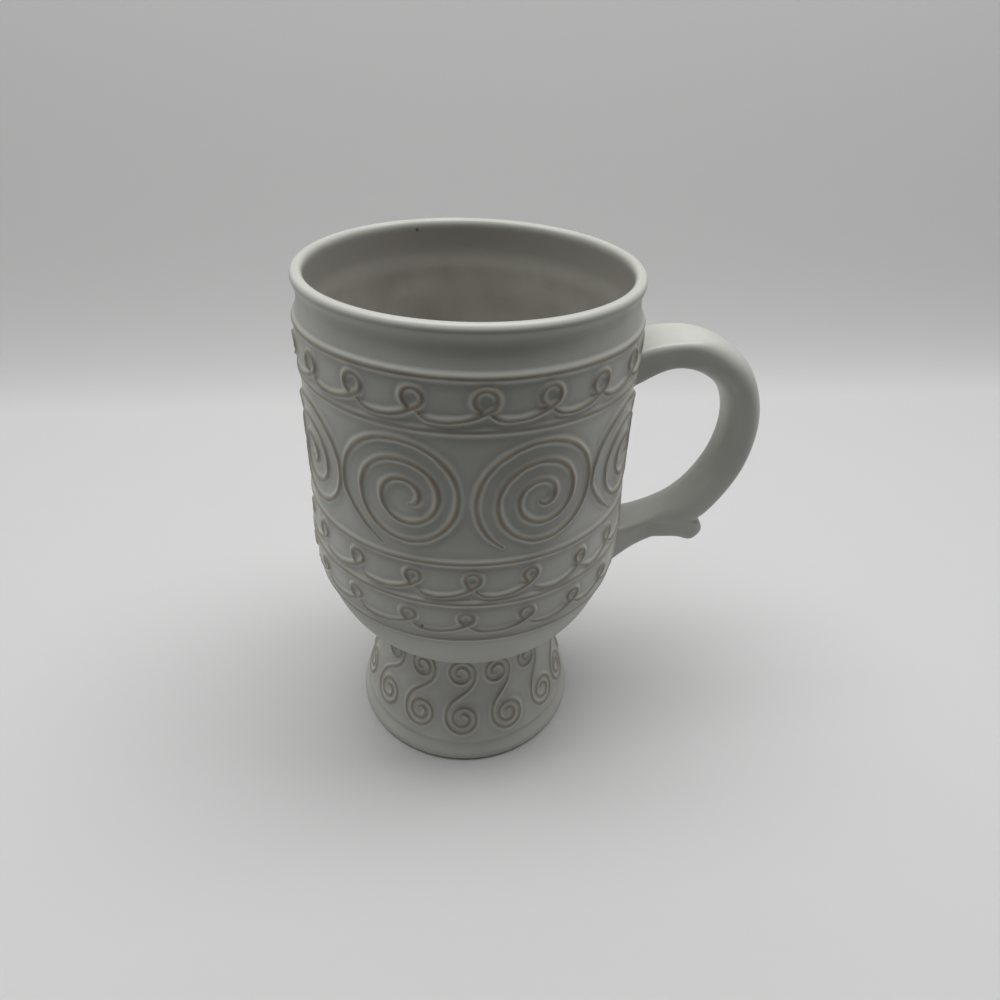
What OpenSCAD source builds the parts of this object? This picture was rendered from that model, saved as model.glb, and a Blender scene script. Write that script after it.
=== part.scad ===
// Tall footed stoneware mug: a thrown barrel on a bell-shaped foot, a pulled strap handle,
// and raised trailed ornament. Running scrolls fill three bands, eight big spirals stand
// between them, and paired scrolls go round the foot. It is fired as one piece.
// +Z is up and +X runs from the mug's axis to its handle. The origin is the middle of the
// foot's ring, on the table. Sizes are in millimetres and angles in degrees.

/* [Body] */
// Outside diameter of the rim
rim_d = 84; // [82:0.5:86]
// Outside diameter of the plain wall between the ribs
barrel_d = 84.6; // [83:0.2:86]
// Outside diameter at the belly, the widest place
belly_d = 87.2; // [86:0.2:88]
// Thickness of the thrown wall
wall_t = 3.2; // [2.8:0.1:3.6]
// Thickness of the rolled rim
rim_t = 3; // [2.6:0.1:3.4]
// Thickness of the cup's floor above the hollow foot
floor_t = 7; // [6:0.5:8]

/* [Heights] */
// Height of the bell foot, up to the bowl
foot_h = 40; // [38:0.5:42]
// Height of the plain bowl, from the foot to the lowest rib
bowl_h = 21.4; // [20.6:0.2:22.4]
// Height of the lowest band of running scrolls, on the bowl's curve
low_band_h = 12.9; // [12.5:0.1:13.4]
// Height of the two other bands of running scrolls
running_band_h = 11.9; // [11.7:0.1:12.4]
// Height of the band of big spirals
spiral_band_h = 35.1; // [34.9:0.1:36]
// Height of the plain collar, from the top rib to the rim
collar_h = 11; // [10:0.5:12]

/* [Foot] */
// Diameter of the foot's ring on the table
base_d = 69; // [67:0.5:71]
// Diameter of the foot's neck, under the bowl
neck_d = 50.4; // [49:0.2:52]
// Height of the rounded ring at the base
base_ring_h = 4.6; // [4.2:0.2:5.2]
// Thickness of the foot's wall
foot_wall_t = 4.6; // [4:0.2:5.2]

/* [Handle] */
// Width of the strap, across the mug
strap_w = 15; // [13:0.5:16]
// Thickness of the strap
strap_t = 10.4; // [9:0.2:11]
// Extra width of the strap at its upper root, as a share
root_flare = 0.06; // [0:0.02:0.2]
// Extra width of the strap at its lower root, as a share
heel_flare = 0.34; // [0.2:0.02:0.4]

/* [Ornament] */
// Width of a trailed line at its foot
trail_w = 2.3; // [2:0.1:2.4]
// Height of a trailed line above the wall
trail_h = 0.8; // [0.6:0.05:1]
// Height of the ribs that part the bands
rib_h = 0.75; // [0.5:0.05:1]
// Running scrolls in each band
scroll_count = 19; // [18:1:19]
// Scrolls round the foot
foot_scroll_count = 14; // [13:1:14]
// Big spirals, with the handle's gap left over
spiral_count = 8; // [6:1:8]
// Angle from one big spiral to the next
spiral_step = 42.8; // [42.6:0.1:43.2]
// Turns in a big spiral
spiral_turns = 2.9; // [2.6:0.05:2.9]
// Distance from one turn of a big spiral to the next
spiral_pitch = 4.9; // [4.5:0.05:4.95]

/* [Hidden] */
glaze = "#B9B6AC";
$fn = 120;

rim_r = rim_d / 2;
barrel_r = barrel_d / 2;
belly_r = belly_d / 2;
base_r = base_d / 2;
neck_r = neck_d / 2;

// Heights of the five ribs, from the lowest up, and of the rim
rib_e = foot_h + bowl_h;
rib_d = rib_e + low_band_h;
rib_c = rib_d + running_band_h;
rib_b = rib_c + spiral_band_h;
rib_a = rib_b + running_band_h;
mug_h = rib_a + collar_h;

// The bowl is a quarter of an ellipse that ends at the belly
belly_z = rib_e + 10.6;
bowl_in = 17.2;
barrel_fade = 35;

// The bell starts above the base ring and a groove
groove_z = base_ring_h + 1.3;
bell_z = groove_z + 2.4;
bell_r = base_r - 1.8;
bell_power = 1.65;

floor_z = foot_h + 5;
sink = 0.5;

function mix(a, b, t) = a + (b - a) * t;
function unit(v) = v / norm(v);

// Radius of the plain outside at height z: the bell foot, the bowl, then the barrel
function bell_at(z) =
    neck_r + (bell_r - neck_r) * pow(max(0, foot_h - z) / (foot_h - bell_z), bell_power);
function bowl_at(z) =
    belly_r - bowl_in * (1 - sqrt(max(0, 1 - pow((belly_z - z) / (belly_z - foot_h), 2))));
function barrel_at(z) =
    mix(barrel_r, belly_r, pow(max(0, 1 - (z - belly_z) / barrel_fade), 2));
function skin_r(z) = z < foot_h ? bell_at(z) : z < belly_z ? bowl_at(z) : barrel_at(z);

// Profile of one rib: a low bead on the wall at height z
function rib(z) = [
    [skin_r(z - 1.1), z - 1.1],
    [skin_r(z) + rib_h, z - 0.4],
    [skin_r(z) + rib_h, z + 0.4],
    [skin_r(z + 1.1), z + 1.1]];

// Plain wall between two heights, without its ends
function wall(from, to, steps) = [
    for (i = [1:steps - 1]) let (z = mix(from, to, i / steps)) [skin_r(z), z]];

// An arc of a circle, as [radius, height] points
function arc(r, z, size, from, to, steps) = [
    for (i = [0:steps]) let (a = mix(from, to, i / steps)) [r + size * cos(a), z + size * sin(a)]];

function foot_outside() = concat(
    arc(base_r - 1.2, 1.2, 1.2, -90, 0, 3),
    arc(base_r - 2, base_ring_h - 2, 2, 0, 60, 3),
    [[base_r - 1.9, groove_z], [bell_r + 0.5, bell_z - 0.5]],
    [for (i = [0:8]) let (z = mix(bell_z + 0.6, foot_h - 1.2, i / 8)) [bell_at(z), z]]);

function bowl_outside() = [
    for (a = [18:12:66]) let (z = belly_z - (belly_z - foot_h) * cos(a))
        if (z < rib_e - 2) [skin_r(z), z]];

function barrel_outside() = concat(
    rib(rib_e), wall(rib_e + 1.1, rib_d - 1.1, 3),
    rib(rib_d), wall(rib_d + 1.1, rib_c - 1.1, 2),
    rib(rib_c), wall(rib_c + 1.1, rib_b - 1.1, 5),
    rib(rib_b), wall(rib_b + 1.1, rib_a - 1.1, 2));

// The top rib is a low ledge, and a concave collar rises from it to the rolled rim
function collar_outside() = concat(
    [[skin_r(rib_a), rib_a - 1.1], [skin_r(rib_a) + rib_h / 2, rib_a - 0.4],
     [skin_r(rib_a) + rib_h / 2, rib_a + 0.5], [rim_r - 0.4, rib_a + 2]],
    [for (i = [0:4]) let (t = i / 4)
        [rim_r - 1.2 + 0.7 * pow(2 * t - 1, 2), mix(rib_a + 3, mug_h - 3.2, t)]]);

function rim_roll() = arc(rim_r - rim_t / 2, mug_h - rim_t / 2, rim_t / 2, -40, 190, 9);

function cup_inside() = concat(
    [[barrel_r - wall_t, mug_h - 6], [barrel_r - wall_t, rib_c]],
    [for (a = [0:15:75]) let (s = belly_z + 2 - floor_z)
        [24 + (belly_r - wall_t - 24.6) * cos(a), belly_z + 2 - s * sin(a)]],
    [[24, floor_z], [0, floor_z]]);

// The foot is hollow: a cone with a domed top
function foot_inside() = concat(
    [[0, floor_z - floor_t]],
    arc(neck_r - foot_wall_t - 6, floor_z - floor_t - 6, 6, 90, 10, 4),
    [for (z = [26, 18, 11]) [bell_at(z) - foot_wall_t, z]],
    arc(base_r - foot_wall_t - 1.2, 1.2, 1.2, 180, 270, 2));

module turned_body() {
    rotate_extrude()
        polygon(concat(foot_outside(), bowl_outside(), barrel_outside(), collar_outside(),
            rim_roll(), cup_inside(), foot_inside()));
}

// A closed skin over a list of sections, each with the same number of points
module skinned(sections) {
    n = len(sections);
    m = len(sections[0]);
    polyhedron(
        points = [for (s = sections) each s],
        faces = concat(
            [[for (j = [m - 1:-1:0]) j]],
            [for (i = [0:n - 2], j = [0:m - 1]) let (k = (j + 1) % m, a = i * m, b = a + m)
                each [[a + j, b + k, b + j], [a + j, a + k, b + k]]],
            [[for (j = [0:m - 1]) (n - 1) * m + j]]),
        convexity = 8);
}

// A point on the outside at an angle and a height, and the way straight out of the wall there
function on_wall(a, z) = [skin_r(z) * cos(a), skin_r(z) * sin(a), z];
function out_of_wall(a, z) =
    let (slope = (skin_r(z + 0.5) - skin_r(z - 0.5)))
    unit([cos(a), sin(a), -slope]);

// One trailed line of slip. The path is in mm across and mm up from a place on the wall.
module trail(path, angle, z0, width = trail_w) {
    last = len(path) - 1;
    deg = 180 / PI / skin_r(z0);
    spot = [for (p = path) [angle + p[0] * deg, z0 + p[1]]];
    mid = [for (s = spot) on_wall(s[0], s[1])];
    skinned([
        for (i = [0:last])
            let (up = out_of_wall(spot[i][0], spot[i][1]),
                along = unit(mid[min(i + 1, last)] - mid[max(i - 1, 0)]),
                side = unit(cross(up, along)) * width / 2,
                full = i == 0 || i == last ? 0.45 : 1)
                [mid[i] - side * full - up * sink,
                 mid[i] + up * trail_h * full,
                 mid[i] + side * full - up * sink]]);
}

function bezier(a, b, c, d, t) =
    a * pow(1 - t, 3) + 3 * b * t * pow(1 - t, 2) + 3 * c * t * t * (1 - t) + d * pow(t, 3);

function coil(centre, from, to, r_from, r_to, steps) = [
    for (i = [0:steps]) let (t = i / steps, a = mix(from, to, t), r = mix(r_from, r_to, t))
        centre + r * [cos(a), sin(a)]];

// A running scroll is a swag that rises into a loop. The loop closes on the swag's end. Its
// round part is centred at [0, 0], and drop is the swag's depth under that.
function swag(step, ring_r, drop) =
    let (start = [0.8 - step, 1.6 - drop], end = ring_r * [cos(-45), sin(-45)])
    [for (i = [0:4]) bezier(start, [3.3 - step, -drop - 0.8], [-4, -drop - 0.8], end, i / 4)];
function loop(ring_r, drop) =
    concat(coil([0, 0], -62, 222, ring_r, ring_r, 8), [[-0.3, 1.9 - drop]]);

module running_band(low, ring_r, rise, drop, shift) {
    width = trail_w * (ring_r > 2 ? 0.95 : 0.85);
    step_mm = 2 * PI * skin_r(low + rise) / scroll_count;
    for (i = [0:scroll_count - 1], path = [swag(step_mm, ring_r, drop), loop(ring_r, drop)])
        trail(path, shift + i * 360 / scroll_count, low + rise, width);
}

// A big spiral opens from its eye and ends in a tail that no longer opens
module spirals() {
    last_r = 1.5 + spiral_pitch * spiral_turns;
    turned = 360 * spiral_turns - 125;
    path = concat(coil([0, 0], -125, turned, 1.5, last_r, 38),
        coil([0, 0], turned + 16, turned + 48, last_r - 0.1, last_r - 0.3, 2));
    for (i = [0:spiral_count - 1])
        trail(path, 181.7 + (i - (spiral_count - 1) / 2) * spiral_step,
            rib_c + spiral_band_h / 2 - 0.5);
}

// A foot scroll: an upper spiral, a slanting stroke and a lower spiral that turns back
function foot_scroll() = concat(
    coil([-0.8, 15.4], 280, 0, 1.1, 2.7, 5),
    coil([-0.8, 15.4], -45, -360, 3.5, 4.8, 7),
    [for (t = [0.2, 0.5, 0.8]) bezier([3.8, 14.6], [3.2, 7.5], [-5.4, 8], [-5.3, 0.5], t)],
    coil([-0.1, 0], 175, 880, 5.2, 1, 15));

module foot_scrolls() {
    for (i = [0:foot_scroll_count - 1])
        trail(foot_scroll(), 264 + i * 360 / foot_scroll_count, foot_h * 3 / 8, trail_w * 0.74);
}

// The strap's middle line from the upper root down: [distance from the axis, height, share of
// strap_t]. It is thin where it leaves the wall and thick at both roots.
handle_line = [
    [barrel_r - 1.9, rib_a - 16.6, 1.04],
    [46.5, rib_a - 14.2, 1.03],
    [51, rib_a - 12.1, 0.93],
    [56.7, rib_a - 11, 0.97],
    [63, rib_a - 12.3, 1.02],
    [70, rib_a - 17.2, 1],
    [75.1, rib_a - 24.6, 1],
    [77.5, rib_a - 37.7, 1],
    [75, rib_a - 48.7, 1],
    [69, rib_a - 58.7, 1],
    [62.2, rib_a - 64.2, 1],
    [56, rib_e + 5.2, 0.93],
    [50.5, rib_e + 3.7, 0.93],
    [46, rib_e + 1.7, 1.06],
    [belly_r - 3.9, rib_e - 1.2, 1.4]];

function spline(p, t) =
    let (n = len(p) - 1, k = min(n - 1, floor(t * n)), u = t * n - k,
        a = k > 0 ? p[k - 1] : 2 * p[0] - p[1], b = p[k], c = p[k + 1],
        d = k + 2 <= n ? p[k + 2] : 2 * p[n] - p[n - 1])
    b + 0.5 * u * (c - a + u * (2 * a - 5 * b + 4 * c - d + u * (3 * (b - c) + d - a)));

// A soft-cornered oval, half_t by half_w
function oval(half_t, half_w, sides) = [
    for (i = [0:sides - 1]) let (a = 360 * i / sides)
        [half_t * sign(cos(a)) * pow(abs(cos(a)), 0.8),
         half_w * sign(sin(a)) * pow(abs(sin(a)), 0.8)]];

module handle() {
    steps = 2 * (len(handle_line) - 1);
    skinned([
        for (i = [0:steps])
            let (t = i / steps, p = spline(handle_line, t),
                q = spline(handle_line, max(0, t - 0.01)), r = spline(handle_line, min(1, t + 0.01)),
                end = pow(abs(2 * t - 1), 12),
                run = unit([r[0] - q[0], r[1] - q[1]]),
                way = unit(mix(run, [t < 0.5 ? 1 : -1, 0], end)),
                flare = 1 + (t < 0.5 ? root_flare : heel_flare) * pow(abs(2 * t - 1), 7))
                [for (o = oval(strap_t / 2 * p[2], strap_w / 2 * flare, 16))
                    [p[0] - way[1] * o[0], o[1], p[1] + way[0] * o[0]]]]);
}

// The strap's end, turned out as a small blunt spur under the lower bend
module spur() {
    from = [57.5, rib_e + 5.6];
    to = [72, rib_e - 0.4];
    way = unit(to - from);
    skinned([
        for (s = [[0, 4], [0.4, 4.4], [0.7, 4.1], [0.86, 3.4], [0.96, 2.2], [1, 1]])
            let (p = mix(from, to, s[0]))
                [for (o = oval(s[1], s[1] * 1.45, 12))
                    [p[0] - way[1] * o[0], o[1], p[1] + way[0] * o[0]]]]);
}

module mug() {
    color(glaze) {
        turned_body();
        handle();
        spur();
        running_band(rib_b, 2.35, 7.1, 4.8, 3.9 - 95);
        running_band(rib_d, 1.9, 7, 5.2, 1.5 - 95);
        running_band(rib_e, 1.85, 8, 4.7, -95);
        spirals();
        foot_scrolls();
    }
}

mug();
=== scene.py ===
import math

import bpy
import numpy as np
from mathutils import Matrix, Vector


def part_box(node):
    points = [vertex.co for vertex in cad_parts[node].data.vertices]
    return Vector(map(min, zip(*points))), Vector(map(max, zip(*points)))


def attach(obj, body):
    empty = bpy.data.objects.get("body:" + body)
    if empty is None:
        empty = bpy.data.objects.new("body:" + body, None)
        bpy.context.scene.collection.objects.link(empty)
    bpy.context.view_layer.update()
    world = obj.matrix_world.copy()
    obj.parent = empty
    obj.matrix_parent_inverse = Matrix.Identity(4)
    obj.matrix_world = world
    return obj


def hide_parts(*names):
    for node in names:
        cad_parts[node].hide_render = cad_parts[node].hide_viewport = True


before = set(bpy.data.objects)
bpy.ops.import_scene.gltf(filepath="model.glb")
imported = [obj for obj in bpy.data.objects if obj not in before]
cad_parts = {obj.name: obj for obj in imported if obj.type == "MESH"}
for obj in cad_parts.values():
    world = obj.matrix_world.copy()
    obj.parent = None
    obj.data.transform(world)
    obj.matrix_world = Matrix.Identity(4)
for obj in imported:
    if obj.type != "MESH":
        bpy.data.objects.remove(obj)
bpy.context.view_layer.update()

MM = 0.001
TURN = 2 * math.pi

# The body's sizes in millimetres, as in the part's source. The height is the solid's own.
MUG_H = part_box("mug")[1][2] / MM
RIM_R, RIM_T = 42.0, 3.0
BARREL_R, BELLY_R = 42.3, 43.6
WALL_T, FLOOR_T, FOOT_WALL_T = 3.2, 7.0, 4.6
BASE_R, NECK_R, BASE_RING_H = 34.5, 25.2, 4.6
FOOT_H, BOWL_H, LOW_BAND_H, BAND_H, SPIRAL_H = 40.0, 21.4, 12.9, 11.9, 35.1

# Heights of the five ribs, from the lowest up
RIB_E = FOOT_H + BOWL_H
RIB_D = RIB_E + LOW_BAND_H
RIB_C = RIB_D + BAND_H
RIB_B = RIB_C + SPIRAL_H
RIB_A = RIB_B + BAND_H

# The bowl's widest height, how far it draws in to the foot, and where the barrel's flare ends
BELLY_Z, BOWL_IN, BARREL_FADE = RIB_E + 10.6, 17.2, 35.0

# The foot: its groove over the base ring, and the bell that rises from there
GROOVE_Z = BASE_RING_H + 1.3
BELL_Z, BELL_R, BELL_POWER = GROOVE_Z + 2.4, BASE_R - 1.8, 1.65
RING_EDGE, RING_SHOULDER, CEILING_CURVE = 1.2, 2.0, 6.0

# The cup: its floor, and the floor's flat middle
CUP_FLOOR_Z = FOOT_H + 5
CUP_FLAT_R = 24.0

# What throwing leaves: a step under the collar, faint rings inside the cup and their pace in radians
# a millimetre, and a wall that is a little out of round
LEDGE_H, THROWING_RING_H, THROWING_RING_PACE = 0.6, 0.05, 0.62
OUT_OF_ROUND = 0.1

# The plain collar draws in under the rim, and bows. The glaze rounds every corner of the profile.
COLLAR_IN, COLLAR_BOW = 0.95, 0.5
GLAZE_ROUNDING = 0.45

# The glaze is thin along the rim's outer edge. It is thinnest at this height, and is whole again
# this far below the top.
LIP_LINE_Z, LIP_DEPTH = MUG_H - 1.6, 6.0

# The turned mesh is split into bowl and barrel here, on the plain wall between two bands
SEAM_Z = (RIB_C + RIB_B) / 2 - 9

# The side that faces the camera, as an angle round the mug
FRONT = -95.0

# The trailed lines. A spread is the distance at which a line's height has fallen to a third, and
# farther than FAR from a line the glaze is plain.
TRAIL_H, TRAIL_SPREAD = 0.78, 0.7
FAR = 4.0
SCROLL_COUNT = 19
FOOT_SCROLL_COUNT, FOOT_ROW_MIDDLE = 14, FRONT - 1
HAND_SEED = 7

# The big spirals leave a gap behind the handle, so their row has a middle, and its own step in degrees
SPIRAL_COUNT, SPIRAL_STEP, SPIRAL_ROW_MIDDLE = 8, 42.8, 181.7
SPIRAL_EYE, SPIRAL_PITCH, SPIRAL_TAIL_R = 3.2, 5.0, 15.7

# Glaze lies hollow beside a line: how deep, how far off the line's crest, and over what spread
POOL_DEPTH, POOL_OFF, POOL_SPREAD = 0.05, 1.7, 0.5

# A hand doesn't space motifs evenly. These are the front ones' drifts in degrees, left to right.
TOP_DRIFT = (-2.1, -1.0, -0.9, 0.9, 1.1, 0.6, 0.3)
MIDDLE_DRIFT = (-2.9, -2.1, 0.0, 0.4, 0.7, 1.8, -0.5)
LOW_DRIFT = (-2.4, -2.2, -0.4, 0.0, 1.3, 1.0, -1.5)
FOOT_DRIFT = (0.2, -0.1, -0.3, 1.0, 2.9)
FOOT_LEAN = (0.3, -0.3, -0.1, -2.2, -4.2)

# The five ribs: height on the mug, height above the wall, spread, and how bare the glaze leaves it
RIBS = (
    (RIB_A, 0.4, 0.66, 0.8),
    (RIB_B, 0.5, 1.0, 0.7),
    (RIB_C, 0.62, 0.74, 0.75),
    (RIB_D, 0.66, 0.76, 0.8),
    (RIB_E, 0.56, 0.8, 0.65))

# The strap handle: its width and thickness, how its clay is smeared out round the roots, and how
# square its section is: a low power is squarer
STRAP_W, STRAP_T = 15.0, 10.4
ROOT_FILLET, ROOT_OPENING = 1.2, 0.8
BEND_POWER, SPUR_POWER, ROOT_POWER = 0.85, 0.55, 0.4

# Mesh: columns round the mug, the step between rows in millimetres, and the handle's points to a
# section, voxel, and smoothing passes over all of it and over the join with its spur
FINE_COLUMNS, PLAIN_COLUMNS = ((720, 240))
FINE_STEP, PLAIN_STEP = ((0.36, 0.9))
SECTION_POINTS = 72
HANDLE_VOXEL, HANDLE_PASSES, JOIN_PASSES = ((0.33, 3, 18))

# The camera that took the photograph, found from the ellipses of the rim, ribs and foot. Its
# distance from the mug's axis and its height are in millimetres, and its angles in degrees.
EYE_OUT, EYE_UP = 173.2, 194.6
LOOK_DOWN, LOOK_ASIDE, CAMERA_ROLL = 34.59, 3.11, 2.39
SENSOR_MM, LENS_MM = 36.0, 25.92


def mix(a, b, t):
    """From a at 0 to b at 1."""
    return a + (b - a) * t


def smooth_step(low, high, x):
    """From 0 at low to 1 at high, eased at both ends, where low may be the larger."""
    t = np.clip((x - low) / (high - low), 0, 1)
    return t * t * (3 - 2 * t)


# Profile of the turned body, in millimetres

def bell_r(z):
    """Outside of the bell foot, which flares down to its groove."""
    return NECK_R + (BELL_R - NECK_R) * (np.clip(FOOT_H - z, 0, None) / (FOOT_H - BELL_Z)) ** BELL_POWER


def bowl_r(z):
    """Outside of the rounded bowl, from the foot's neck to the belly."""
    down = np.clip((BELLY_Z - z) / (BELLY_Z - FOOT_H), 0, 1)
    return BELLY_R - BOWL_IN * (1 - np.sqrt(1 - down**2))


def barrel_r(z):
    """Outside of the barrel, straight at the top and a little wider at the belly."""
    return mix(BARREL_R, BELLY_R, np.clip(1 - (z - BELLY_Z) / BARREL_FADE, 0, None) ** 2)


def skin_r(z):
    """Outside of the turned wall at any height, without its ornament."""
    z = np.asarray(z, float)
    return np.where(z < FOOT_H, bell_r(z), np.where(z < BELLY_Z, bowl_r(z), barrel_r(z)))


def arc(r, z, size, start, end):
    """A rounded corner of the profile about a centre, between two angles in degrees."""
    a = np.radians(np.linspace(start, end, 13))
    return np.column_stack([r + size * np.cos(a), z + size * np.sin(a)])


def underside():
    """From the middle of the hollow foot's ceiling out and down to the ring that stands on the table."""
    ceiling = CUP_FLOOR_Z - FLOOR_T
    heights = np.array([26.0, 18.0, 11.0])
    return np.vstack([
        [[0, ceiling]],
        arc(NECK_R - FOOT_WALL_T - CEILING_CURVE, ceiling - CEILING_CURVE, CEILING_CURVE, 90, 10),
        np.column_stack([bell_r(heights) - FOOT_WALL_T, heights]),
        arc(BASE_R - FOOT_WALL_T - RING_EDGE, RING_EDGE, RING_EDGE, 180, 270)])


def foot_outside():
    """From under the base ring up over its shoulder and the groove to the neck."""
    heights = np.linspace(BELL_Z + 0.6, FOOT_H - 1.2, 40)
    return np.vstack([
        arc(BASE_R - RING_EDGE, RING_EDGE, RING_EDGE, -90, 0),
        arc(BASE_R - RING_SHOULDER, BASE_RING_H - RING_SHOULDER, RING_SHOULDER, 0, 60),
        [[BASE_R - 1.9, GROOVE_Z], [BELL_R + 0.5, BELL_Z - 0.5]],
        np.column_stack([bell_r(heights), heights])])


def wall_outside():
    """The bowl from the foot's neck to the belly, then the barrel up to the collar."""
    a = np.radians(np.linspace(18, 90, 60))
    bowl = BELLY_Z - (BELLY_Z - FOOT_H) * np.cos(a)
    barrel = np.linspace(BELLY_Z + 0.5, RIB_A - 0.4, 120)
    return np.vstack([np.column_stack([skin_r(z), z]) for z in (bowl, barrel)])


def collar_and_rim():
    """The bowed collar over the top rib, then the outer half of the rolled rim."""
    t = np.linspace(0, 1, 12)
    collar = np.column_stack([
        RIM_R - COLLAR_IN + COLLAR_BOW * (2 * t - 1) ** 2, mix(RIB_A + 3, MUG_H - 3.2, t)])
    return np.vstack([
        [[BARREL_R + 0.15, RIB_A + 0.5], [RIM_R - 0.4, RIB_A + 2]],
        collar,
        arc(RIM_R - RIM_T / 2, MUG_H - RIM_T / 2, RIM_T / 2, -40, 80)])


def cup_inside():
    """From the rim's top down the inner wall to the middle of the cup's floor."""
    top = BELLY_Z + 2
    a = np.radians(np.linspace(0, 78, 40))
    bowl = np.column_stack([
        CUP_FLAT_R + (BELLY_R - WALL_T - CUP_FLAT_R - 0.6) * np.cos(a),
        top - (top - CUP_FLOOR_Z) * np.sin(a)])
    return np.vstack([
        arc(RIM_R - RIM_T / 2, MUG_H - RIM_T / 2, RIM_T / 2, 90, 190),
        [[BARREL_R - WALL_T, MUG_H - 6], [BARREL_R - WALL_T, RIB_C]],
        bowl,
        [[CUP_FLAT_R - 2, CUP_FLOOR_Z], [0, CUP_FLOOR_Z]]])


def even(line, step):
    """The same line with points a step apart. Columns after the first two go along with it."""
    along = np.concatenate([[0], np.cumsum(np.hypot(*np.diff(line[:, :2], axis=0).T))])
    s = np.linspace(0, along[-1], max(2, int(along[-1] / step)))
    return np.column_stack([np.interp(s, along, column) for column in line.T])


def softened(line, reach):
    """Corners rounded over about a reach, as glaze rounds them, with both ends kept."""
    spread, side = 4, 12
    kernel = np.exp(-0.5 * (np.arange(-side, side + 1) / spread) ** 2)
    kernel /= kernel.sum()
    line = even(line, reach / spread)
    padded = np.vstack([np.repeat(line[:1], side, 0), line, np.repeat(line[-1:], side, 0)])
    soft = np.column_stack([np.convolve(column, kernel, "valid") for column in padded.T])
    soft[0], soft[-1] = line[0], line[-1]
    return soft


def profile_rows():
    """Rows of the turned mesh: radius, height, outward radius and height, columns, side and piece."""
    parts = [underside(), np.vstack([foot_outside(), wall_outside(), collar_and_rim()]), cup_inside()]
    line = softened(np.vstack(parts), GLAZE_ROUNDING)
    way = np.gradient(line, axis=0)
    out = np.column_stack([way[:, 1], -way[:, 0]])
    out /= np.linalg.norm(out, axis=1)[:, None]
    ring, rim = np.argmin(line[:, 1]), np.argmax(line[:, 1])
    rows, gone = [], 1e9
    for i, (r, z) in enumerate(line):
        outside = ring < i < rim
        fine = outside and GROOVE_Z < z < RIB_A + 2
        step = FINE_STEP if fine else PLAIN_STEP
        if not fine and (z > MUG_H - 4 or z < BELL_Z):
            step = PLAIN_STEP / 2
        if i:
            gone += math.dist(line[i - 1], (r, z))
        if gone >= step or i == len(line) - 1:
            inner = i >= rim or z > RIB_A + 2
            piece = "rim_and_cup" if inner else (
                "foot" if z < FOOT_H + 0.5 or not outside else "bowl" if z < SEAM_Z else "barrel")
            columns = FINE_COLUMNS if fine else PLAIN_COLUMNS
            rows.append((max(r, 0), z, *out[i], columns, outside, piece))
            gone = 0
    return rows


# Paths of the trailed lines, in millimetres across and up from their own place on the wall

def bezier(a, b, c, d, t):
    """Points of a curve that leaves a towards b and reaches d from c."""
    a, b, c, d = (np.array(p, float) for p in (a, b, c, d))
    t = np.asarray(t)[:, None]
    return a * (1 - t) ** 3 + 3 * b * t * (1 - t) ** 2 + 3 * c * t * t * (1 - t) + d * t**3


def coil(centre, start, end, r_start, r_end, steps):
    """A round or spiral stretch between two angles, in degrees, and two radii."""
    t = np.linspace(0, 1, steps + 1)
    a, r = np.radians(mix(start, end, t)), mix(r_start, r_end, t)
    return np.column_stack([centre[0] + r * np.cos(a), centre[1] + r * np.sin(a)])


def swag(step, ring_r, drop):
    """A low swag from under the last loop that rises to the right of this one."""
    corner = ring_r * math.cos(math.radians(45))
    return bezier((0.8 - step, 1.6 - drop), (3.3 - step, -drop - 0.8), (-4, -drop - 0.8),
                  (corner, -corner), np.linspace(0, 1, 20))


def loop(ring_r, drop):
    """The loop that the swag curls into, closed to a point on the swag."""
    return np.vstack([coil((0, 0), -62, 222, ring_r, ring_r, 30), [[-0.3, 1.9 - drop]]])


def big_spiral(straight):
    """A spiral that opens from its eye. Its tail runs round, or leaves in a straight stroke."""
    first, last = (-0.22, 2.52) if straight else (-0.347, 2.65)
    t = np.linspace(first, last, 150)
    r = np.minimum(SPIRAL_EYE + SPIRAL_PITCH * t, SPIRAL_TAIL_R)
    lean = -0.55 * t if straight else 0 * t
    line = np.column_stack([lean + r * np.cos(TURN * t), r * np.sin(TURN * t)])
    if straight:
        end = line[-1]
        stroke = bezier(end, end + (0.7, -3.4), (-11.5, -11.2), (-6.3, -14.7), np.linspace(0.05, 1, 16))
        line = np.vstack([line, stroke])
    return line


def foot_scroll(lean):
    """An upper spiral, a slanting stroke and a lower spiral that turns back."""
    top = (lean - 0.8, 15.4)
    return np.vstack([
        coil(top, 280, 0, 1.1, 2.7, 24),
        coil(top, -20, -360, 3.0, 4.8, 32),
        bezier((lean + 4, 15), (lean + 3.6, 7.5), (-5.4, 8), (-5.3, 0.5), np.linspace(0.06, 0.95, 14)),
        coil((-0.1, 0), 175, 880, 5.2, 1, 56)])


def drifts(count, front, hand, spread):
    """Degrees that each motif stands off its even place, counted round to the front ones."""
    drift = hand.normal(0, spread, count)
    first = count // 2 - len(front) // 2
    drift[first:first + len(front)] = front
    return drift


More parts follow.
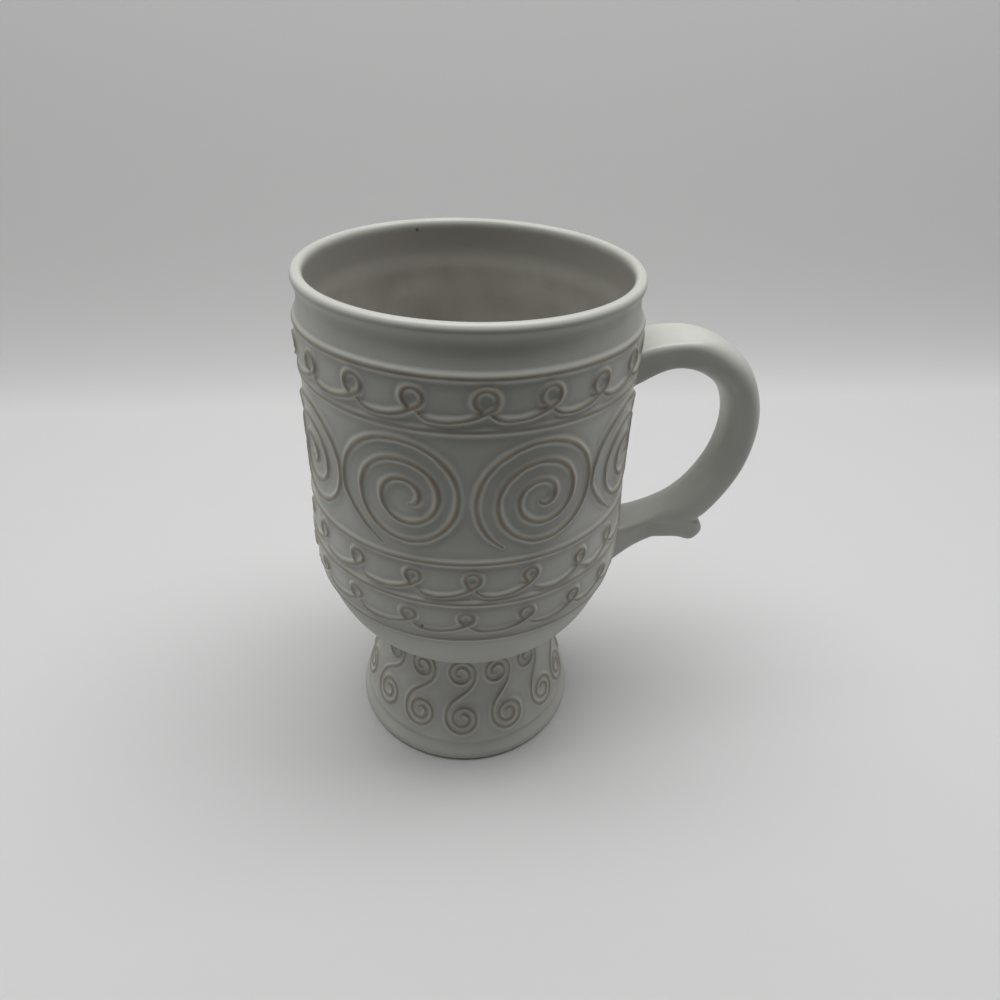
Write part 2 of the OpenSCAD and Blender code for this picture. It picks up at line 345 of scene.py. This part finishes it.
def trailed_lines():
    """Every trailed line, spaced as a hand spaces them: its path, angle, height and width, how far
    each of its ends takes to thicken, and how bare the glaze leaves it."""
    hand = np.random.default_rng(HAND_SEED)
    lines = []
    even_places = (np.arange(SCROLL_COUNT) - SCROLL_COUNT // 2) * 360 / SCROLL_COUNT
    for low, ring_r, rise, drop, turn, front, width in (
            (RIB_B, 2.35, 7.1, 4.8, 3.9, TOP_DRIFT, 0.95),
            (RIB_D, 1.9, 7.0, 5.2, 1.5, MIDDLE_DRIFT, 0.85),
            (RIB_E, 1.85, 8.0, 4.7, 0.0, LOW_DRIFT, 0.85)):
        z = low + rise
        places = FRONT + turn + even_places + drifts(SCROLL_COUNT, front, hand, 1.0)
        steps = np.radians((places - np.roll(places, 1)) % 360) * float(skin_r(z))
        for place, step in zip(places, steps):
            size = ring_r * (1 + hand.normal(0, 0.05))
            lift = hand.normal(0, 0.2)
            lines.append((swag(step, size, drop), place, z + lift, width, 3.0, 0, 0.9))
            lines.append((loop(size, drop), place, z + lift, width, 0, 2.0, 1.0))
    for i in range(SPIRAL_COUNT):
        place = SPIRAL_ROW_MIDDLE + (i - (SPIRAL_COUNT - 1) / 2) * SPIRAL_STEP
        height = RIB_C + SPIRAL_H / 2 - 0.2 - 0.5 * (i % 2 == 0)
        lines.append((big_spiral(i % 2 == 1), place, height, 1.0, 2.5, 9.0, 1.0))
    even_places = (np.arange(FOOT_SCROLL_COUNT) - FOOT_SCROLL_COUNT // 2) * 360 / FOOT_SCROLL_COUNT
    places = FOOT_ROW_MIDDLE + even_places + drifts(FOOT_SCROLL_COUNT, FOOT_DRIFT, hand, 0.8)
    leans = drifts(FOOT_SCROLL_COUNT, FOOT_LEAN, hand, 0.5)
    for place, lean in zip(places, leans):
        height = FOOT_H * 3 / 8 + hand.normal(0, 0.15)
        lines.append((foot_scroll(lean), place, height, 1.0, 2.0, 2.0, 0.75))
    return lines


def nearest(x, z, path):
    """Distance from each point to an open line, and how far along the line that is."""
    best, along, walked = np.full(x.shape, 1e9), np.zeros(x.shape), 0.0
    for (ax, az), (bx, bz) in zip(path[:-1], path[1:]):
        dx, dz = bx - ax, bz - az
        size = dx * dx + dz * dz
        t = np.clip(((x - ax) * dx + (z - az) * dz) / size, 0, 1)
        d = (x - ax - t * dx) ** 2 + (z - az - t * dz) ** 2
        closer = d < best
        best = np.where(closer, d, best)
        along = np.where(closer, walked + t * math.sqrt(size), along)
        walked += math.sqrt(size)
    return np.sqrt(best), along


def trail_relief(angle, z, lines):
    """Height that the trailed lines give, and the distance to the nearest one's bare crest."""
    distance, height = np.full(angle.shape, 1e9), np.zeros(angle.shape)
    for number, (path, centre, z0, width, first, last, bare) in enumerate(lines):
        low, high = path.min(0) - 3, path.max(0) + 3
        level = np.nonzero((z > z0 + low[1]) & (z < z0 + high[1]))[0]
        across = (angle[level] - math.radians(centre) + math.pi) % TURN - math.pi
        x = across * float(skin_r(z0))
        near = (x > low[0]) & (x < high[0])
        spot, x = level[near], x[near]
        d, along = nearest(x, z[spot] - z0, path)
        length = np.hypot(*np.diff(path, axis=0).T).sum()
        slow, quick = np.sin(along * 0.5 + number), np.sin(along * 1.3 + 2 * number)
        swell = width * (1 + 0.06 * slow + 0.04 * quick)
        for reach, off_end in ((first, along), (last, length - along)):
            if reach:
                swell = swell * mix(0.45, 1, smooth_step(0, reach, off_end))
        d /= swell
        distance[spot] = np.minimum(distance[spot], d + 0.5 * (1 - bare))
        ridge = TRAIL_H * swell * np.exp(-((d / TRAIL_SPREAD) ** 2))
        height[spot] = np.maximum(height[spot], ridge)
    return height, distance


def relief(angle, z, lines):
    """Height of the outside over the turned skin, and the distance to the nearest bare crest."""
    height, d = trail_relief(angle, z, lines)
    for number, (rib, high, spread, bare) in enumerate(RIBS):
        wander = 0.12 * np.sin(2 * angle + number) + 0.07 * np.sin(5 * angle + 2 * number)
        off = np.abs(z - rib - wander)
        ridge = high * np.exp(-((off / spread) ** 2))
        height = np.maximum(height, ridge) + 0.25 * np.minimum(height, ridge)
        d = np.minimum(d, off + 0.5 * (1 - bare))
    pool = POOL_DEPTH * np.exp(-(((d - POOL_OFF) / POOL_SPREAD) ** 2))
    return np.minimum(height, TRAIL_H) - pool, np.minimum(d, FAR)


# Mesh of the turned body

def ring_faces(a, na, b, nb):
    """Faces between two rings of points, where one ring may have several times the other's points."""
    few, many, n, k = (a, b, na, nb // na) if na <= nb else (b, a, nb, na // nb)
    faces = []
    for j in range(n):
        fine = [many + (j * k + i) % (n * k) for i in range(k + 1)]
        face = [few + j, few + (j + 1) % n, *fine[::-1]]
        faces.append(face if na <= nb else face[::-1])
    return faces


def cup_lift(angle, z):
    """What a thrower's fingers leave inside the cup: faint rings, and a step under the collar."""
    rings = THROWING_RING_H * np.sin(z * THROWING_RING_PACE + 0.4 * np.sin(angle))
    rings *= smooth_step(RIB_A, RIB_A - 14, z)
    edge = z + 0.5 * np.sin(angle) + 0.3 * np.sin(3 * angle)
    ledge = LEDGE_H * smooth_step(RIB_A + 3.5, RIB_A - 2.5, edge)
    return rings + ledge * smooth_step(CUP_FLOOR_Z, RIB_E + 20, z)


def turned_body(lines):
    """The turned body's points, each piece's faces, and each point's distance to a trailed line."""
    rows = profile_rows()
    first, last, rows = rows[0], rows[-1], rows[1:-1]
    counts = np.array([row[4] for row in rows])
    starts = np.concatenate([[0], np.cumsum(counts)])
    angle = np.concatenate([np.arange(n) * TURN / n for n in counts])
    r, z, out_r, out_z, outside = (
        np.repeat([row[k] for row in rows], counts) for k in (0, 1, 2, 3, 5))

    outside = outside.astype(bool)
    cup = ~outside & (z > CUP_FLOOR_Z + 1)
    lip = outside & (z > MUG_H - LIP_DEPTH)
    trailed = outside & (z > GROOVE_Z + 1) & (z < RIB_A + 2)
    lift, line = np.where(cup, cup_lift(angle, z), 0.0), np.full(angle.shape, FAR)
    line[lip] = np.minimum(FAR, 0.6 + 0.5 * np.abs(z[lip] - LIP_LINE_Z))
    lift[trailed], line[trailed] = relief(angle[trailed], z[trailed], lines)
    wobble = OUT_OF_ROUND * np.sin(3 * angle + z * 0.02) * smooth_step(0, 60, z)
    r, z = r + lift * out_r + wobble, z + lift * out_z
    points = np.column_stack([r * np.cos(angle), r * np.sin(angle), z])
    points = np.vstack([points, [[0, 0, first[1]], [0, 0, last[1]]]])

    pieces = {}
    for i in range(len(rows) - 1):
        pieces.setdefault(rows[i][6], []).extend(
            ring_faces(starts[i], counts[i], starts[i + 1], counts[i + 1]))
    middle, n, m, end = len(points) - 2, counts[0], counts[-1], starts[-2]
    pieces["foot"] += [[middle, (j + 1) % n, j] for j in range(n)]
    pieces["rim_and_cup"] += [[middle + 1, end + j, end + (j + 1) % m] for j in range(m)]
    return points, pieces, np.concatenate([line, [FAR, FAR]])


# The strap handle. Its middle line is [distance from the axis, height, share of STRAP_T, share of
# STRAP_W], from the upper root down. It is thinnest just off the wall, and swells into both roots.

HANDLE_LINE = np.array([
    [BARREL_R - 1.9, RIB_A - 15.9, 0.97, 1.13],
    [44.4, RIB_A - 13.5, 0.92, 1.12],
    [49.9, RIB_A - 11.6, 0.79, 1.07],
    [56.1, RIB_A - 11.2, 0.77, 1.04],
    [62.3, RIB_A - 12.6, 0.95, 1.04],
    [70.1, RIB_A - 17.5, 0.96, 1.02],
    [75, RIB_A - 24.7, 0.9, 0.99],
    [77.3, RIB_A - 34.5, 0.94, 0.92],
    [75.8, RIB_A - 46.4, 0.97, 0.94],
    [70.6, RIB_A - 56.9, 0.98, 0.96],
    [65.3, RIB_A - 62.7, 1.05, 0.94],
    [57.3, RIB_E + 5.3, 0.79, 0.8],
    [50.5, RIB_E + 2.7, 0.77, 0.86],
    [44.1, RIB_E + 0.2, 1.09, 0.99],
    [BELLY_R - 3.9, RIB_E - 1.9, 1.62, 1.07]])

# The spur's middle line: distance from the axis, height, and half its thickness as a share of STRAP_T
SPUR_LINE = np.array([
    [49.8, RIB_E + 2.8, 0.36],
    [57.3, RIB_E + 4.5, 0.37],
    [65, RIB_E + 4.3, 0.4],
    [71.5, RIB_E + 0.2, 0.31]])
SPUR_W = 14.4

# The join between the strap and the spur: its place, and how far round it the clay is smoothed
SPUR_JOIN, SPUR_JOIN_REACH = np.array([64.0, 0, RIB_E + 2.5]), 13.0


def spline(p, t):
    """A point at a share t of the smooth curve through all of a line's nodes."""
    n = len(p) - 1
    k = min(n - 1, int(t * n))
    u = t * n - k
    b, c = p[k], p[k + 1]
    a = p[k - 1] if k else 2 * p[0] - p[1]
    d = p[k + 2] if k + 2 <= n else 2 * p[n] - p[n - 1]
    return b + 0.5 * u * (c - a + u * (2 * a - 5 * b + 4 * c - d + u * (3 * (b - c) + d - a)))


def section(middle, way, half_t, half_w, power):
    """One section across a strap: a soft-cornered oval, which a low power makes squarer."""
    a = np.linspace(0, TURN, SECTION_POINTS, endpoint=False)
    thick = half_t * np.sign(np.cos(a)) * np.abs(np.cos(a)) ** power
    wide = half_w * np.sign(np.sin(a)) * np.abs(np.sin(a)) ** power
    return np.column_stack([middle[0] - way[1] * thick, wide, middle[1] + way[0] * thick])


def seated(points, middle):
    """A section opened out near the wall, as clay that a finger has smeared down round a root."""
    off_wall = np.hypot(points[:, 0], points[:, 1]) - skin_r(points[:, 2])
    close = np.clip(ROOT_FILLET - off_wall, 0, ROOT_FILLET)
    grow = ROOT_FILLET - np.sqrt(ROOT_FILLET**2 - close**2)
    away = points - [middle[0], 0, middle[1]]
    return points + away / np.linalg.norm(away, axis=1)[:, None] * grow[:, None] * ROOT_OPENING


def loft(sections):
    """A closed mesh over a list of sections with the same number of points."""
    n, m = len(sections), len(sections[0])
    faces = [list(range(m))[::-1], [(n - 1) * m + j for j in range(m)]]
    for i in range(n - 1):
        for j in range(m):
            k = (j + 1) % m
            faces.append([i * m + j, i * m + k, (i + 1) * m + k, (i + 1) * m + j])
    return np.vstack(sections), faces


def strap():
    """The strap from its upper root to its lower one, soft at the bend and square at both roots,
    where its sections also turn to lie along the wall."""
    middle = softened(np.array([spline(HANDLE_LINE, t) for t in np.linspace(0, 1, 80)]), 2.4)
    ways = np.gradient(middle[:, :2], axis=0)
    sections = []
    for t, (r, z, thick, wide), way in zip(np.linspace(0, 1, len(middle)), middle, ways):
        way = way / np.linalg.norm(way)
        off_middle = abs(2 * t - 1)
        way = mix(way, np.array([1.0 if t < 0.5 else -1.0, 0]), off_middle ** 12)
        way /= np.linalg.norm(way)
        power = mix(BEND_POWER, ROOT_POWER, float(smooth_step(0.48, 0.72, off_middle)))
        oval = section((r, z), way, STRAP_T / 2 * thick, STRAP_W / 2 * wide, power)
        sections.append(seated(oval, (r, z)))
    return loft(sections)


def spur():
    """The strap's end, turned out as a blunt spur under the lower bend."""
    middle = np.array([spline(SPUR_LINE, t) for t in np.linspace(0, 1, 60)])
    ways = np.gradient(middle[:, :2], axis=0)
    sections = []
    for t, (r, z, thick), way in zip(np.linspace(0, 1, len(middle)), middle, ways):
        close = math.sqrt(1 - float(np.clip((t - 0.78) / 0.22, 0, 1)) ** 2.2)
        wide = mix(0.8, 1, smooth_step(0, 0.5, t))
        half_t, half_w = 0.05 + STRAP_T * thick * close, 0.05 + SPUR_W / 2 * wide * close
        sections.append(section((r, z), way / np.linalg.norm(way), half_t, half_w, SPUR_POWER))
    return loft(sections)


# Blender objects

def new_object(name, points, faces):
    """A mesh object in the scene, from points in millimetres."""
    mesh = bpy.data.meshes.new(name)
    mesh.from_pydata((np.asarray(points) * MM).tolist(), [], faces)
    mesh.update()
    ob = bpy.data.objects.new(name, mesh)
    bpy.context.collection.objects.link(ob)
    return ob


def apply(ob, kind, **settings):
    """Adds a modifier with its settings and keeps its result as the object's mesh."""
    m = ob.modifiers.new(kind.title(), kind)
    for key, value in settings.items():
        setattr(m, key, value)
    done = bpy.data.meshes.new_from_object(ob.evaluated_get(bpy.context.evaluated_depsgraph_get()))
    ob.modifiers.clear()
    old, ob.data = ob.data, done
    bpy.data.meshes.remove(old)
    return ob


def corners(ob):
    """The points of an object's mesh, in millimetres."""
    flat = np.empty(3 * len(ob.data.vertices))
    ob.data.vertices.foreach_get("co", flat)
    return flat.reshape(-1, 3) / MM


def joined(name, parts):
    """Several objects as one, with their meshes side by side."""
    points, faces, count = [], [], 0
    for ob in parts:
        points.append(corners(ob))
        faces += [[count + v for v in p.vertices] for p in ob.data.polygons]
        count += len(ob.data.vertices)
        bpy.data.objects.remove(ob)
    return new_object(name, np.vstack(points), faces)


def softer_near(ob, centre, reach, iterations):
    """The skin smoothed within a reach of a place, less and less towards the reach's edge."""
    group = ob.vertex_groups.new(name="soft")
    away = np.linalg.norm(corners(ob) - centre, axis=1)
    weights = smooth_step(reach, reach / 2, away)
    for i in np.nonzero(weights)[0]:
        group.add([int(i)], float(weights[i]), "REPLACE")
    apply(ob, "SMOOTH", factor=0.5, iterations=iterations, vertex_group="soft")
    ob.vertex_groups.clear()


def handle():
    """The strap and its spur grown into one skin, with the join between them softened."""
    ob = joined("handle", [new_object("strap", *strap()), new_object("spur", *spur())])
    apply(ob, "REMESH", mode="VOXEL", voxel_size=HANDLE_VOXEL * MM)
    apply(ob, "SMOOTH", factor=0.5, iterations=HANDLE_PASSES)
    softer_near(ob, SPUR_JOIN, SPUR_JOIN_REACH, JOIN_PASSES)
    return ob


def mark(ob, line):
    """Writes to the mesh, for the glaze, the distance to a line and where it is inside the cup."""
    x, y, z = corners(ob).T
    inside = (np.hypot(x, y) < skin_r(z) - WALL_T / 2) & (z > CUP_FLOOR_Z - 1)
    # Where the glaze paints shade inside the cup, fading out over the rim's top
    cup_shade = inside * smooth_step(MUG_H - 1, MUG_H - 3, z)
    for name, values in (("line", line), ("inside", cup_shade)):
        ob.data.attributes.new(name, "FLOAT", "POINT").data.foreach_set("value", values)


def body_pieces(lines, glaze):
    """The turned body in pieces that share their edges. All take the whole body's normals, so
    that no seam shows between them."""
    points, pieces, line = turned_body(lines)
    whole = new_object("whole", points, [f for faces in pieces.values() for f in faces])
    normals = np.empty(3 * len(points))
    whole.data.vertex_normals.foreach_get("vector", normals)
    normals = normals.reshape(-1, 3)
    bpy.data.objects.remove(whole)
    for name, faces in pieces.items():
        used = np.unique(np.concatenate([np.asarray(f) for f in faces]))
        place = np.zeros(len(points), int)
        place[used] = np.arange(len(used))
        ob = new_object("glazed_" + name, points[used], [place[f].tolist() for f in faces])
        mark(ob, line[used])
        dress(ob, glaze)
        ob.data.normals_split_custom_set_from_vertices(normals[used].tolist())


def dress(ob, glaze):
    """Gives a piece its glaze and its place in the frame."""
    ob.data.shade_smooth()
    ob.data.materials.append(glaze)
    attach(ob, "root")
    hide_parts("mug")


# Materials

def colour(code):
    """An sRGB hex colour as linear red, green, blue and alpha."""
    channels = [int(code[i:i + 2], 16) / 255 for i in (1, 3, 5)]
    return [c / 12.92 if c <= 0.04045 else ((c + 0.055) / 1.055) ** 2.4 for c in channels] + [1.0]


def node(tree, kind, inputs=None, **settings):
    """Adds a node. An input is a value, or another node's socket to link."""
    n = tree.nodes.new(kind)
    for key, value in settings.items():
        setattr(n, key, value)
    for key, value in (inputs or {}).items():
        if isinstance(value, bpy.types.NodeSocket):
            tree.links.new(value, n.inputs[key])
        else:
            n.inputs[key].default_value = value
    return n


def material(name):
    """A new material and its node tree, with nothing in it yet."""
    m = bpy.data.materials.new(name)
    m.use_nodes = True
    m.node_tree.nodes.clear()
    return m, m.node_tree


def blend(tree, factor, a, b):
    """A colour mix of two sockets or colours."""
    return node(tree, "ShaderNodeMix", {0: factor, 6: a, 7: b}, data_type="RGBA").outputs[2]


def ramp(tree, factor, low, high):
    """A value that runs from 0 at low to 1 at high, eased at both ends."""
    return node(tree, "ShaderNodeMapRange", {"Value": factor, "From Min": low, "From Max": high},
                interpolation_type="SMOOTHSTEP").outputs["Result"]


def times(tree, a, b):
    """The product of two sockets."""
    return node(tree, "ShaderNodeMath", {0: a, 1: b}, operation="MULTIPLY").outputs[0]


def noise(tree, place, grain_mm, detail):
    """Noise whose grains are about this many millimetres across."""
    return node(tree, "ShaderNodeTexNoise",
                {"Vector": place, "Scale": 1 / (grain_mm * MM), "Detail": detail}).outputs["Fac"]


# Sizes in the glaze, in millimetres: its slow clouding, the wear of the crests, and the dimples and
# the fine grain of its skin
CLOUD_MM, WEAR_MM, PEEL_MM, GRAIN_MM = 16, 7, 2.4, 0.5

# Iron spots that burnt through the glaze: angle round the mug, distance from the axis, height, radius
IRON_SPOTS = (
    (107.6, 39.4, 141.6, 0.55),
    (143.5, 39.1, 131.3, 0.4),
    (-92.6, 41.0, 135.8, 0.38),
    (-109.8, 43.4, 65.4, 0.42))


def iron_spots(tree, place):
    """How much of an iron spot a point is, 0 to 1."""
    total = 0.0
    for angle, r, z, size in IRON_SPOTS:
        a = math.radians(angle)
        centre = (r * math.cos(a) * MM, r * math.sin(a) * MM, z * MM)
        off = node(tree, "ShaderNodeVectorMath", {0: place, 1: centre}, operation="DISTANCE")
        spot = ramp(tree, off.outputs["Value"], 1.5 * size * MM, 0.4 * size * MM)
        total = node(tree, "ShaderNodeMath", {0: spot, 1: total}, operation="MAXIMUM").outputs[0]
    return total


def satin_stoneware_glaze():
    """Satin-matte white glaze, dipped and fired on stoneware. It is whitest where it pools along
    both sides of a line, and breaks thin and tan over the crest, where the clay shows through."""
    m, tree = material("satin_stoneware_glaze")
    place = node(tree, "ShaderNodeTexCoord").outputs["Object"]
    line = node(tree, "ShaderNodeAttribute", attribute_name="line").outputs["Fac"]
    inside = node(tree, "ShaderNodeAttribute", attribute_name="inside").outputs["Fac"]

    cloud = ramp(tree, noise(tree, place, CLOUD_MM, 3), 0.3, 0.7)
    plain = blend(tree, cloud, colour("#CDCEC6"), colour("#C6C7BF"))
    field = blend(tree, cloud, colour("#C6C7C0"), colour("#BFC0B9"))
    body = blend(tree, ramp(tree, line, FAR, 2.0), plain, field)
    pooled = times(tree, ramp(tree, line, 0.6, 0.95), ramp(tree, line, 1.8, 1.1))
    body = blend(tree, pooled, body, colour("#D3D4CC"))
    worn = node(tree, "ShaderNodeMapRange", {"Value": noise(tree, place, WEAR_MM, 1), "From Min": 0.3,
                "From Max": 0.7, "To Min": 0.7, "To Max": 1.0}).outputs["Result"]
    body = blend(tree, times(tree, ramp(tree, line, 0.8, 0.25), worn), body, colour("#A09582"))
    height = node(tree, "ShaderNodeSeparateXYZ", {0: place}).outputs["Z"]
    # Painted shade inside the cup: the same glaze in a darker tone, with the warm cast of light thrown
    # about the cup. It is darker still on the upper inner wall, from under the collar up to the rim.
    cup_shade = blend(tree, cloud, colour("#C6C3BC"), colour("#B2AFA8"))
    upper_cup_shade = ramp(tree, height, (RIB_A - 4) * MM, (RIB_A + 3) * MM)
    body = blend(tree, inside, body, blend(tree, upper_cup_shade, cup_shade, colour("#ABA8A1")))
    body = blend(tree, iron_spots(tree, place), body, colour("#675A4B"))

    peel = noise(tree, place, PEEL_MM, 2)
    grain = noise(tree, place, GRAIN_MM, 2)
    bump = node(tree, "ShaderNodeBump", {"Strength": 0.3, "Distance": 0.1 * MM, "Height": peel})
    bump = node(tree, "ShaderNodeBump",
                {"Strength": 0.2, "Distance": 0.03 * MM, "Height": grain, "Normal": bump.outputs[0]})
    gloss = node(tree, "ShaderNodeMapRange",
                 {"Value": cloud, "To Min": 0.31, "To Max": 0.41}).outputs["Result"]
    skin = node(tree, "ShaderNodeBsdfPrincipled",
                {"Base Color": body, "Roughness": gloss, "IOR": 1.5, "Normal": bump.outputs[0]})
    node(tree, "ShaderNodeOutputMaterial", {"Surface": skin.outputs[0]})
    return m


def backdrop_paper():
    """Uncoated backdrop paper: flat, dull and pale. It throws light back on the mug from close by,
    and next to none from its front part, since the room on the camera's side is dark."""
    m, tree = material("backdrop_paper")
    place = node(tree, "ShaderNodeTexCoord").outputs["Object"]
    xyz = node(tree, "ShaderNodeSeparateXYZ", {0: place})
    near_mug = ramp(tree, xyz.outputs["Y"], -200 * MM, -100 * MM)
    thrown = blend(tree, near_mug, colour("#6E6E6E"), colour("#CBCBCA"))
    camera_ray = node(tree, "ShaderNodeLightPath").outputs["Is Camera Ray"]
    skin = node(tree, "ShaderNodeBsdfPrincipled",
                {"Base Color": blend(tree, camera_ray, thrown, colour("#D8D8D8")), "Roughness": 0.9})
    node(tree, "ShaderNodeOutputMaterial", {"Surface": skin.outputs[0]})
    return m


# The studio

def backdrop():
    """One sheet of paper that lies on the table, turns up behind the mug and leans back."""
    front, fold, top, half = -650.0, 205.0, 1000.0, 900.0
    lean, ease, step = math.radians(77), 33.0, 4.0
    slope = lean * (1 - np.exp(-np.arange(0, top, step) / ease))
    y = fold + np.cumsum(step * np.cos(slope))
    z = np.cumsum(step * np.sin(slope)) - step * np.sin(slope[0])
    points = [[x, *p] for p in [(front, 0), (0, 0), (fold, 0), *zip(y, z)] for x in (-half, half)]
    faces = [[2 * i, 2 * i + 1, 2 * i + 3, 2 * i + 2] for i in range(len(points) // 2 - 1)]
    ob = new_object("backdrop", points, faces)
    ob.data.shade_smooth()
    ob.data.materials.append(backdrop_paper())


def softbox(name, at, to, size, watts):
    """A soft rectangular lamp, placed, aimed and sized in millimetres."""
    light = bpy.data.lights.new(name, "AREA")
    light.shape = "RECTANGLE"
    light.size, light.size_y = size[0] * MM, size[1] * MM
    light.energy = watts
    ob = bpy.data.objects.new(name, light)
    ob.location = Vector(at) * MM
    ob.rotation_euler = (Vector(to) * MM - ob.location).to_track_quat("-Z", "Y").to_euler()
    bpy.context.collection.objects.link(ob)


def studio():
    """One wide softbox overhead, a weaker one behind it, a faint one at the right, and a dim room."""
    softbox("top_softbox", (0, 0, 1000), (0, 0, 0), (1400, 400), 8.7)
    softbox("back_softbox", (0, 300, 900), (0, 100, 0), (1400, 500), 1.4)
    softbox("right_softbox", (700, 150, 350), (0, 0, 60), (500, 500), 0.2)
    world = bpy.data.worlds.new("studio_room")
    bpy.context.scene.world = world
    world.use_nodes = True
    tree = world.node_tree
    tree.nodes.clear()
    path = node(tree, "ShaderNodeLightPath")
    room = node(tree, "ShaderNodeBackground", {"Color": colour("#FFFFFF"), "Strength": 0.083})
    seen = node(tree, "ShaderNodeBackground", {"Color": colour("#B4B4B4"), "Strength": 1.0})
    both = node(tree, "ShaderNodeMixShader",
                {0: path.outputs["Is Camera Ray"], 1: room.outputs[0], 2: seen.outputs[0]})
    node(tree, "ShaderNodeOutputWorld", {"Surface": both.outputs[0]})


def photograph_camera():
    """The camera at the photograph's place, looking down at the mug with the handle at the right."""
    turn = math.radians(FRONT + 90)
    down, aside, roll = (math.radians(v) for v in (LOOK_DOWN, LOOK_ASIDE, CAMERA_ROLL))
    ahead = Vector((math.sin(aside) * math.cos(down), math.cos(aside) * math.cos(down), -math.sin(down)))
    right = Vector((math.cos(aside), -math.sin(aside), 0))
    up = right.cross(ahead)
    across = math.cos(roll) * right + math.sin(roll) * up
    up = -math.sin(roll) * right + math.cos(roll) * up
    place = Matrix((across, up, -ahead)).transposed().to_4x4()
    place.translation = Vector((0, -EYE_OUT, EYE_UP)) * MM
    data = bpy.data.cameras.new("photograph")
    data.sensor_width, data.lens = SENSOR_MM, LENS_MM
    data.sensor_fit = "HORIZONTAL"
    data.clip_start, data.clip_end = 0.01, 10
    ob = bpy.data.objects.new("photograph", data)
    ob.matrix_world = Matrix.Rotation(turn, 4, "Z") @ place
    bpy.context.collection.objects.link(ob)
    bpy.context.scene.camera = ob


def mug():
    """The turned body in its pieces and the handle, all in one glaze."""
    glaze = satin_stoneware_glaze()
    body_pieces(trailed_lines(), glaze)
    grip = handle()
    grip.name = "glazed_handle"
    mark(grip, np.full(len(grip.data.vertices), FAR))
    dress(grip, glaze)


bpy.context.scene.view_settings.view_transform = "Standard"
photograph_camera()
backdrop()
studio()
mug()
